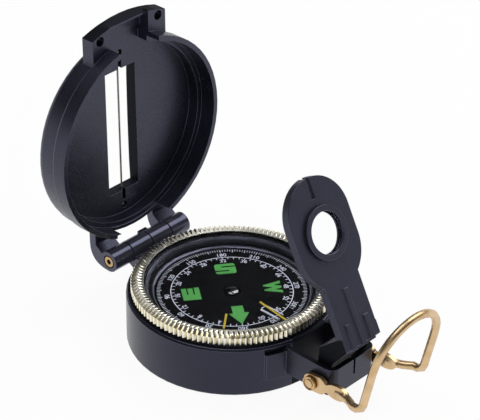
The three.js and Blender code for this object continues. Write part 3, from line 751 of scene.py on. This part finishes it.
@dataclass
class Dial:
    """The printed card: degree and mil scales, letters and a north arrow, in millimetres and degrees."""

    north: float = -126.8
    print_t: float = 0.03
    # Outer scale
    degree_end: float = 19.6
    degree_step: int = 2
    degree_group: int = 10
    degree_short: float = 0.9
    degree_long: float = 1.25
    degree_w: float = 0.13
    degree_bold: float = 1.4
    degree_label: int = 30
    degree_r: float = 17.0
    # Circle between the scales
    circle_r: float = 15.95
    circle_w: float = 0.2
    circle_sides: int = 160
    # Inner scale
    mils: int = 64
    mil_group: int = 4
    mil_short: float = 0.85
    mil_long: float = 1.2
    mil_w: float = 0.17
    mil_r: float = 14.2
    # Numbers and letters
    number_size: float = 1.9
    letter_r: float = 10.5
    letter_w: float = 5.5
    letter_h: float = 4.7
    letter_bold: float = 0.34
    letter_gap: float = 0.55
    letter_round: float = 0.8
    letter_near: float = 0.04
    # North arrow
    arrow_tail: float = 7.0
    arrow_neck: float = 10.2
    arrow_tip: float = 15.2
    arrow_half: float = 2.65
    shaft_half: float = 1.5
    # Worked out from the card, in metres
    top: float = field(init=False)
    corner: float = field(init=False)
    level: float = field(init=False)

    def __post_init__(self) -> None:
        """Reads the card's top from the solid, and works out the print's broken corners and its level."""
        self.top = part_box("dial_card")[1].z
        self.corner = self.print_t * MM / 3
        self.level = self.top + self.corner

    def build(self) -> None:
        """Prints every scale and mark on the card."""
        Bench.coat_solid("dial_card", CARD_BLACK)
        degrees = range(self.degree_label, FULL_TURN + 1, self.degree_label)
        mils = range(self.mil_group, self.mils, self.mil_group)
        self.give("degree_scale", self.degree_scale(), WHITE_INK)
        self.give("mil_scale", self.mil_scale(), WHITE_INK)
        self.give("scale_circle", self.circle(), WHITE_INK)
        self.give("degree_numbers", self.numbers(degrees, 1, self.degree_r), WHITE_INK)
        self.give("mil_numbers", self.numbers(mils, FULL_TURN / self.mils, self.mil_r), WHITE_INK)
        self.give("quarter_letters", self.letters(), GREEN_INK)
        self.give("north_arrow", self.arrow(), GREEN_INK)

    @staticmethod
    def give(name: str, piece: Piece, finish: Ink) -> None:
        """Names a printed piece, inks it and lets it ride on the card.

        Args:
            name: The piece's name.
            piece: The print as a mesh.
            finish: Its ink.
        """
        piece.name = name
        Bench.coat(piece, finish)
        Bench.ride(piece, Body.CARD, Slot.CARD)

    def azimuth(self, bearing: float) -> float:
        """Turns a bearing, clockwise from north, into an angle about +Z in radians."""
        return math.radians(self.north - bearing)

    def bar(self, inner: float, outer: float, width: float, bearing: float) -> Piece:
        """Makes one tick with broken corners, from a cube.

        Args:
            inner: Radius where it starts.
            outer: Radius where it ends.
            width: Its width.
            bearing: Its place on the scale in degrees.

        Returns:
            The tick.
        """
        Bench.clear()
        bpy.ops.mesh.primitive_cube_add(size=1, location=((inner + outer) / 2 * MM, 0, 0))
        tick = bpy.context.object
        tick.scale = ((outer - inner) * MM, width * MM, self.print_t * MM)
        Bench.settle(tick)
        Bench.edit(tick, lambda: bpy.ops.mesh.bevel(offset=self.corner, segments=1, affect="EDGES"))
        tick.rotation_euler.z = self.azimuth(bearing)
        tick.location.z = self.level
        Bench.settle(tick)
        return tick

    @staticmethod
    def around(group: Piece, count: int) -> Piece:
        """Copies a group of ticks all round the card.

        Args:
            group: The first group.
            count: Groups in a full turn.

        Returns:
            The whole ring.
        """
        angle = math.tau * (count - 1) / count
        Bench.edit(group, lambda: bpy.ops.mesh.spin(
            steps=count - 1, dupli=True, angle=angle, center=(0, 0, 0), axis=(0, 0, 1)))
        return group

    def degree_scale(self) -> Piece:
        """Makes the outer scale: a tick every two degrees, a longer one every ten.

        Returns:
            The scale.
        """
        end = self.degree_end
        ticks = [self.bar(end - self.degree_long, end, self.degree_w * self.degree_bold, 0)]
        for bearing in range(self.degree_step, self.degree_group, self.degree_step):
            ticks.append(self.bar(end - self.degree_short, end, self.degree_w, bearing))
        return self.around(Bench.merge("degree_scale", ticks), FULL_TURN // self.degree_group)

    def mil_scale(self) -> Piece:
        """Makes the inner scale: sixty-four ticks, every fourth one longer.

        Returns:
            The scale.
        """
        end = self.circle_r - self.circle_w / 2
        ticks = [self.bar(end - self.mil_long, end, self.mil_w, 0)]
        for step in range(1, self.mil_group):
            ticks.append(self.bar(end - self.mil_short, end, self.mil_w, FULL_TURN / self.mils * step))
        return self.around(Bench.merge("mil_scale", ticks), self.mils // self.mil_group)

    def circle(self) -> Piece:
        """Makes the thin circle between the scales, bridged from two circles.

        An edge extrude would give the same shape with its faces in another order each run.

        Returns:
            The circle.
        """
        Bench.clear()
        outer = self.circle_r + self.circle_w / 2
        share = (self.circle_r - self.circle_w / 2) / outer
        bpy.ops.mesh.primitive_circle_add(
            vertices=self.circle_sides, radius=outer * MM, location=(0, 0, self.top))
        line = bpy.context.object
        Bench.settle(line)

        def widen() -> None:
            """Copies the edge inwards and bridges the two."""
            bpy.ops.mesh.duplicate()
            bpy.ops.transform.resize(value=(share, share, 1))
            bpy.ops.mesh.select_all(action="SELECT")
            bpy.ops.mesh.bridge_edge_loops()

        Bench.edit(line, widen)
        Bench.thicken(line, self.print_t * MM)
        Bench.turn_out(line)
        return line

    def written(self, text: str, size: float, bold: float = 0.0) -> Piece:
        """Writes a text at the origin and makes it a mesh.

        Args:
            text: What to print.
            size: Its size.
            bold: How far its strokes are thickened.

        Returns:
            The text as a mesh.
        """
        Bench.clear()
        bpy.ops.object.text_add()
        word = bpy.context.object
        word.data.body = text
        word.data.size = size * MM
        word.data.align_x = "CENTER"
        word.data.align_y = "CENTER"
        word.data.offset = bold * MM
        word.data.extrude = self.print_t * MM / 2
        bpy.ops.object.convert(target="MESH")
        Bench.settle(bpy.context.object)
        return bpy.context.object

    def stand(self, word: Piece, bearing: float, radius: float) -> Piece:
        """Stands a word on the card with its top outwards.

        Args:
            word: The word, flat at the origin.
            bearing: Its place in degrees.
            radius: Distance of its middle from the centre.

        Returns:
            The word in its place.
        """
        angle = self.azimuth(bearing)
        word.rotation_euler.z = angle - math.pi / 2
        word.location = Vector((math.cos(angle), math.sin(angle), 0)) * radius * MM
        word.location.z = self.level
        Bench.settle(word)
        return word

    def letters(self) -> Piece:
        """Makes the three wide letters, each stretched to the same box.

        Returns:
            The letters as one mesh.
        """
        words = []
        for quarter, mark in enumerate("ESW", start=1):
            word = self.square_s() if mark == "S" else self.written(mark, self.letter_h, self.letter_bold)
            word.scale.x = self.letter_w * MM / word.dimensions.x
            word.scale.y = self.letter_h * MM / word.dimensions.y
            Bench.settle(word)
            words.append(self.stand(word, FULL_TURN / 4 * quarter, self.letter_r))
        return Bench.merge("quarter_letters", words)

    def square_s(self) -> Piece:
        """Makes the S from a grid: two cells go from each gap, the gaps narrow and the corners are rounded.

        Returns:
            The letter, flat at the origin.
        """
        columns, rows = 3, 5
        Bench.clear()
        bpy.ops.mesh.primitive_grid_add(x_subdivisions=columns, y_subdivisions=rows, size=1)
        letter = bpy.context.object
        letter.scale = (self.letter_w * MM, self.letter_h * MM, 1)
        Bench.settle(letter)
        self.open_gaps(letter, self.letter_w * MM / columns, self.letter_h * MM / rows)
        self.narrow_gaps(letter, self.letter_h * MM / rows)
        self.round_corners(letter)
        Bench.thicken(letter, self.print_t * MM)
        return letter

    @staticmethod
    def open_gaps(letter: Piece, column: float, row: float) -> None:
        """Takes two cells from the row above the middle and two from the row below it.

        Args:
            letter: The grid.
            column: Width of a cell in metres.
            row: Height of a cell in metres.
        """
        Bench.edit_part(
            letter, Pick.FACES, lambda c: abs(abs(c.y) - row) < row / 2 and c.x * c.y > -column * row / 2,
            lambda: bpy.ops.mesh.delete(type="FACE"))

    def narrow_gaps(self, letter: Piece, row: float) -> None:
        """Moves the two lines beside each gap towards each other.

        Args:
            letter: The grid with its gaps.
            row: Height of a cell in metres.
        """
        near = self.letter_near * MM
        narrow = (row - self.letter_gap * MM) / 2
        for line, way in ((0.5, 1), (1.5, -1)):
            for side in (-1, 1):
                Bench.edit_part(letter, Pick.POINTS, lambda c: abs(c.y - side * line * row) < near,
                                lambda: bpy.ops.transform.translate(value=(0, side * way * narrow, 0)))

    def round_corners(self, letter: Piece) -> None:
        """Rounds the letter's four outer corners.

        Args:
            letter: The flat letter.
        """
        end_x = (self.letter_w / 2 - self.letter_near) * MM
        end_y = (self.letter_h / 2 - self.letter_near) * MM
        Bench.edit_part(
            letter, Pick.POINTS, lambda c: abs(c.x) > end_x and abs(c.y) > end_y,
            lambda: bpy.ops.mesh.bevel(offset=self.letter_round * MM, segments=5, affect="VERTICES"))

    def numbers(self, values: range, step: float, radius: float) -> Piece:
        """Makes a ring of numbers.

        Args:
            values: The numbers.
            step: Degrees to each unit.
            radius: Distance of the numbers from the centre.

        Returns:
            The ring as one mesh.
        """
        words = []
        for value in values:
            words.append(self.stand(self.written(str(value), self.number_size), value * step, radius))
        return Bench.merge("numbers", words)

    def arrow(self) -> Piece:
        """Makes the north arrow from a three-sided head and a shaft.

        Returns:
            The arrow on the card.
        """
        arrow = Bench.merge("north_arrow", [self.arrow_head(), self.arrow_shaft()])
        Bench.thicken(arrow, self.print_t * MM)
        Bench.turn_out(arrow)
        arrow.rotation_euler.z = self.azimuth(0)
        arrow.location.z = self.level
        Bench.settle(arrow)
        return arrow

    def arrow_head(self) -> Piece:
        """Makes the arrow's head along +X, from a circle of three sides stretched to its tip and width.

        Returns:
            The head, flat at the origin.
        """
        Bench.clear()
        bpy.ops.mesh.primitive_circle_add(vertices=3, radius=1.0, fill_type="NGON")
        head = bpy.context.object
        head.rotation_euler.z = -math.pi / 2
        Bench.settle(head)
        low = min(v.co.x for v in head.data.vertices)
        high = max(v.co.x for v in head.data.vertices)
        wide = max(v.co.y for v in head.data.vertices)
        length = (self.arrow_tip - self.arrow_neck) / (high - low)
        head.scale = (length * MM, self.arrow_half / wide * MM, MM)
        head.location.x = (self.arrow_neck - low * length) * MM
        Bench.settle(head)
        return head

    def arrow_shaft(self) -> Piece:
        """Makes the arrow's shaft along +X.

        Returns:
            The shaft, flat at the origin.
        """
        Bench.clear()
        middle = (self.arrow_tail + self.arrow_neck) / 2
        bpy.ops.mesh.primitive_plane_add(size=1, location=(middle * MM, 0, 0))
        shaft = bpy.context.object
        shaft.scale = ((self.arrow_neck - self.arrow_tail) * MM, 2 * self.shaft_half * MM, MM)
        Bench.settle(shaft)
        return shaft


@dataclass(frozen=True)
class Hinge:
    """Place of the lid's hinge barrel, whose faces get a lighter painted highlight, in millimetres."""

    y: float = 31.7
    z: float = 14.5
    radius: float = 3.1

    def holds(self, face: Face) -> bool:
        """Tells whether a face is on the barrel."""
        _, y, z = face.center / MM
        return math.hypot(y - self.y, z - self.z) < self.radius


@dataclass
class Case:
    """The round case, its pins and the parts of the capsule, in millimetres."""

    edge: float = 0.12
    cup_edge: float = 0.1
    pin_edge: float = 0.12
    # Painted highlight line along the window's reading frame
    frame_x: float = -0.9
    frame_half: float = 1.3
    frame_near: float = 11.7
    frame_far: float = 18.2
    frame_round: float = 0.9
    frame_line: float = 0.26
    frame_t: float = 0.03
    # Inside of the front bracket
    bracket_half: float = 7.4
    bracket_near: float = 25.0
    bracket_far: float = 41.4

    def build(self) -> None:
        """Dresses the case, the capsule and the pins."""
        self.reading_frame()
        case = Softened("base_case", Body.CASE, Slot.CASE, CASE_BLACK, self.edge,
                        worn=EDGE_HIGHLIGHT_BLACK, clamp=False).build()
        # Painted highlight on the hinge barrel's faces.
        Bench.coat_faces(case, BARREL_HIGHLIGHT_BLACK, Hinge().holds)
        # Painted shade on the faces inside the front bracket.
        Bench.coat_faces(case, SHADE_PAINTED_BLACK, self.bracket_inside)
        # The capsule cup's lighter colour is a painted reflection.
        Softened("capsule_cup", Body.CASE, Slot.CAPSULE, CAPSULE_REFLECTION_BLACK, self.cup_edge).build()
        Softened("hinge_pin", Body.CASE, Slot.BRASS, PLAIN_BRASS, self.pin_edge).build()
        Softened("cross_pin", Body.CASE, Slot.LOOP, LOOP_BRASS, self.pin_edge).build()
        Bench.coat_solid("capsule_window", CLEAR)
        Bench.coat_solid("capsule_seal", SEAL_BLACK)
        Bench.coat_solid("fill_plug", PLAIN_BRASS)
        Bench.coat_solid("pivot_post", STEEL)
        Bench.coat_solid("bezel_washer", STEEL)

    def bracket_inside(self, face: Face) -> bool:
        """Tells whether a face looks into the front bracket, where painted shade goes."""
        x, y, _ = face.center / MM
        return abs(x) < self.bracket_half and self.bracket_near < -y < self.bracket_far

    def reading_frame(self) -> None:
        """Paints a white line under the window, round at its near end and open at its far end, as a painted
        highlight on the edges of the window's clear reading frame.
        """
        Bench.clear()
        middle = -(self.frame_near + self.frame_far) / 2
        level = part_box("capsule_window")[0].z - self.frame_t * MM
        bpy.ops.mesh.primitive_plane_add(size=1, location=(self.frame_x * MM, middle * MM, level))
        line = bpy.context.object
        line.name = "reading_frame"
        line.scale = (2 * self.frame_half * MM, (self.frame_far - self.frame_near) * MM, 1)
        Bench.settle(line)

        def draw() -> None:
            """Rounds the plane's corners and leaves a line round its edge."""
            bpy.ops.mesh.bevel(offset=self.frame_round * MM, segments=6, affect="VERTICES")
            bpy.ops.mesh.select_all(action="SELECT")
            bpy.ops.mesh.inset(thickness=self.frame_line * MM)
            bpy.ops.mesh.delete(type="FACE")

        Bench.edit(line, draw)
        far = (self.frame_line / 2 - self.frame_far) * MM
        Bench.edit_part(line, Pick.FACES, lambda c: abs(c.y - far) < self.frame_line * MM,
                        lambda: bpy.ops.mesh.delete(type="FACE"))
        Bench.thicken(line, self.frame_t * MM)
        # The white ink here is a painted highlight.
        Bench.coat(line, WHITE_INK)
        Bench.ride(line, Body.CASE, Slot.CLEAR)


@dataclass
class Card:
    """The bearing and magnets under the printed card, in millimetres."""

    hub_edge: float = 0.08

    def build(self) -> None:
        """Dresses the hub, jewel and magnets."""
        Softened("bearing_hub", Body.CARD, Slot.STEEL, POLISHED, self.hub_edge).build()
        Bench.coat_solid("jewel_bearing", JEWEL)
        for side in ("left", "right"):
            Bench.coat_solid(f"magnet_{side}", STEEL)


@dataclass
class Bezel:
    """The fluted ring with its glass and index lines, in millimetres and degrees."""

    edge: float = 0.13
    sharp: float = 22.0

    def build(self) -> None:
        """Dresses the ring, the glass and the lines."""
        Softened("bezel_ring", Body.BEZEL, Slot.GOLD, GOLD, self.edge, self.sharp).build()
        Bench.coat_solid("bezel_glass", CLEAR)
        for length in ("long", "short"):
            Bench.coat_solid(f"index_line_{length}", YELLOW_INK)


@dataclass
class Lid:
    """The slotted lid and its sight wire, in millimetres and degrees."""

    edge: float = 0.13
    slot_half: float = 5.3
    slot_lean: float = 0.95
    tab_low: float = 74.0
    tab_lean: float = 0.3
    wire_edge: float = 0.0
    wire_sharp: float = 60.0

    def build(self) -> None:
        """Dresses the lid and the wire."""
        lid = Softened("lid_shell", Body.LID, Slot.CASE, LID_BLACK, self.edge,
                       worn=EDGE_HIGHLIGHT_BLACK, clamp=False).build()
        # Painted highlight on the hinge barrel's faces.
        Bench.coat_faces(lid, BARREL_HIGHLIGHT_BLACK, Hinge().holds)
        # Painted shade on the sight slot's long walls and the thumb tab's outer side.
        Bench.coat_faces(lid, SHADE_PAINTED_BLACK, self.dull)
        Softened("sight_wire", Body.LID, Slot.STEEL, DARK_STEEL, self.wire_edge, self.wire_sharp).build()

    def dull(self, face: Face) -> bool:
        """Tells whether a face takes painted shade: a long wall of the sight slot, or the thumb tab's outer
        side.
        """
        wall = abs(face.normal.x) > self.slot_lean and abs(face.center.x) < (self.slot_half + self.edge) * MM
        return wall or (face.center.z > self.tab_low * MM and face.normal.z > self.tab_lean)


@dataclass
class LensArm:
    """The folding arm with its lens and retaining ring, in millimetres."""

    edge: float = 0.14
    foot_near: float = 30.0
    foot_top: float = 17.0
    under_lean: float = 0.2
    side_lean: float = 0.9

    def build(self) -> None:
        """Dresses the arm, the ring and the lens."""
        arm = Softened("eyepiece_frame", Body.EYEPIECE, Slot.CASE, ARM_BLACK, self.edge,
                       worn=EDGE_HIGHLIGHT_BLACK, clamp=False).build()
        # Painted shade on the underside and sides of the arm's foot.
        Bench.coat_faces(arm, SHADE_PAINTED_BLACK, self.foot_dull)
        Softened("lens_ring", Body.EYEPIECE, Slot.CASE, ARM_BLACK, self.edge, worn=EDGE_HIGHLIGHT_BLACK).build()
        Bench.coat_solid("eyepiece_lens", CLEAR)

    def foot_dull(self, face: Face) -> bool:
        """Tells whether a face on the underside or the sides of the arm's foot takes painted shade."""
        low = -face.center.y > self.foot_near * MM and face.center.z < self.foot_top * MM
        return low and (face.normal.z < -self.under_lean or abs(face.normal.x) > self.side_lean)


@dataclass
class ThumbLoop:
    """The wire loop with its flattened ends, in millimetres and degrees."""

    edge: float = 0.1
    sharp: float = 56.0

    def build(self) -> None:
        """Dresses the loop."""
        Softened("thumb_loop", Body.LOOP, Slot.LOOP, LOOP_BRASS, self.edge, self.sharp, clamp=False).build()


@dataclass(frozen=True)
class Lamp:
    """A soft square lamp that looks at the compass, in metres and watts."""

    name: str
    place: Point
    size: float
    power: float
    target: Point = (0, 0, 0.03)

    def build(self) -> None:
        """Hangs the lamp."""
        data = bpy.data.lights.new(self.name, "AREA")
        data.size = self.size
        data.energy = self.power
        lamp = bpy.data.objects.new(self.name, data)
        bpy.context.scene.collection.objects.link(lamp)
        lamp.location = self.place
        aim = Vector(self.target) - Vector(self.place)
        lamp.rotation_euler = aim.to_track_quat("-Z", "Y").to_euler()


@dataclass
class Studio:
    """Pale floor, soft lamps and the camera at the photograph's place, in millimetres and degrees."""

    # Camera
    azimuth: float = -47.21
    elevation: float = 32.25
    distance: float = 600.0
    focal: float = 2319.25
    width: float = 480.0
    right: float = 1.78
    up: float = 15.59
    roll: float = 0.76
    height: float = 20.0
    sensor: float = 36.0
    nearest: float = 10.0
    # Sky, with how pale it mirrors at each height from the horizon, 0, to overhead, 1
    sky: float = 0.45
    heights: tuple[tuple[float, float], ...] = ((0.02, 1.0), (0.3, 0.07), (0.7, 0.07), (0.9, 0.4))
    # Floor
    floor_side: float = 6000.0
    floor_drop: float = 0.02
    floor_dim: float = 0.86
    floor_pale: float = 0.9
    floor_cloud: float = 3.0
    floor_smooth: float = 0.7
    floor_rough: float = 0.8
    glow: float = 0.93
    lamps: tuple[Lamp, ...] = (
        Lamp("side_lamp", (0.44, -0.04, 0.54), size=0.55, power=2.4),
        Lamp("top_lamp", (-0.1, 0.1, 0.68), size=0.36, power=1.0),
        Lamp("front_lamp", (-0.5, -0.34, 0.36), size=0.3, power=0.15),
    )

    def build(self) -> None:
        """Makes the floor, the world, the lamps and the camera."""
        self.floor()
        self.world()
        for lamp in self.lamps:
            lamp.build()
        self.camera()

    def world(self) -> None:
        """Makes a studio that looks white, and mirrors pale at the horizon and overhead, darker between."""
        world = bpy.data.worlds.new("studio")
        bpy.context.scene.world = world
        world.use_nodes = True
        nodes = Nodes(world.node_tree)
        output = nodes.new("ShaderNodeOutputWorld")
        sky = nodes.new("ShaderNodeBackground")
        sky.inputs["Color"].default_value = (1, 1, 1, 1)
        parts = nodes.new("ShaderNodeSeparateXYZ")
        nodes.join(nodes.new("ShaderNodeTexCoord").outputs["Generated"], parts.inputs["Vector"])
        climb = nodes.ramp(parts.outputs["Z"], [(place, (level,) * 3) for place, level in self.heights])
        mirrors = nodes.either("Is Glossy Ray", "Is Transmission Ray")
        mirrored = nodes.blend(mirrors, self.sky, climb)
        level = nodes.blend(nodes.either("Is Camera Ray"), mirrored, 1.0)
        nodes.join(level, sky.inputs["Strength"])
        nodes.join(sky.outputs["Background"], output.inputs["Surface"])

    def floor(self) -> None:
        """Makes the floor, white to the eye with a faint shadow."""
        Bench.clear()
        bpy.ops.mesh.primitive_plane_add(size=self.floor_side * MM, location=(0, 0, -self.floor_drop * MM))
        floor = bpy.context.object
        floor.name = "floor"
        graph = Graph("floor_white")
        cloud = graph.noise(self.floor_cloud)
        stops = [(graph.noise_low, (self.floor_dim,) * 3), (graph.noise_high, (self.floor_pale,) * 3)]
        graph.paint(graph.ramp(cloud, stops), graph.spread(cloud, self.floor_smooth, self.floor_rough))
        glow = graph.new("ShaderNodeEmission")
        glow.inputs["Strength"].default_value = 1.0
        seen = graph.either("Is Camera Ray", "Is Glossy Ray", "Is Transmission Ray")
        graph.mix(graph.blend(seen, 0.0, self.glow), glow.outputs["Emission"])
        floor.data.materials.append(graph.material)

    def camera(self) -> None:
        """Places the camera from its angles, distance, offsets and roll."""
        az, el = math.radians(self.azimuth), math.radians(self.elevation)
        back = Vector((math.sin(az) * math.cos(el), -math.cos(az) * math.cos(el), math.sin(el)))
        side = Vector((math.cos(az), math.sin(az), 0))
        rise = back.cross(side)
        aim = Vector((0, 0, self.height)) + side * self.right + rise * self.up
        place = (aim + back * self.distance) * MM
        turn = math.radians(self.roll)
        across = side * math.cos(turn) + rise * math.sin(turn)
        upward = rise * math.cos(turn) - side * math.sin(turn)
        data = bpy.data.cameras.new("camera")
        data.sensor_fit = "HORIZONTAL"
        data.sensor_width = self.sensor
        data.lens = self.focal * self.sensor / self.width
        data.clip_start = self.nearest * MM
        camera = bpy.data.objects.new("camera", data)
        bpy.context.scene.collection.objects.link(camera)
        basis = Matrix((across, upward, back)).transposed().to_4x4()
        camera.matrix_world = Matrix.Translation(place) @ basis
        bpy.context.scene.camera = camera


def main() -> None:
    """Builds the studio and every sub-assembly."""
    logging.basicConfig(level=logging.INFO, format="%(name)s: %(message)s")
    bpy.context.scene.view_settings.view_transform = "Standard"
    Studio().build()
    for part in (Case(), Card(), Dial(), Bezel(), Lid(), LensArm(), ThumbLoop()):
        part.build()


if __name__ == "__main__":
    main()
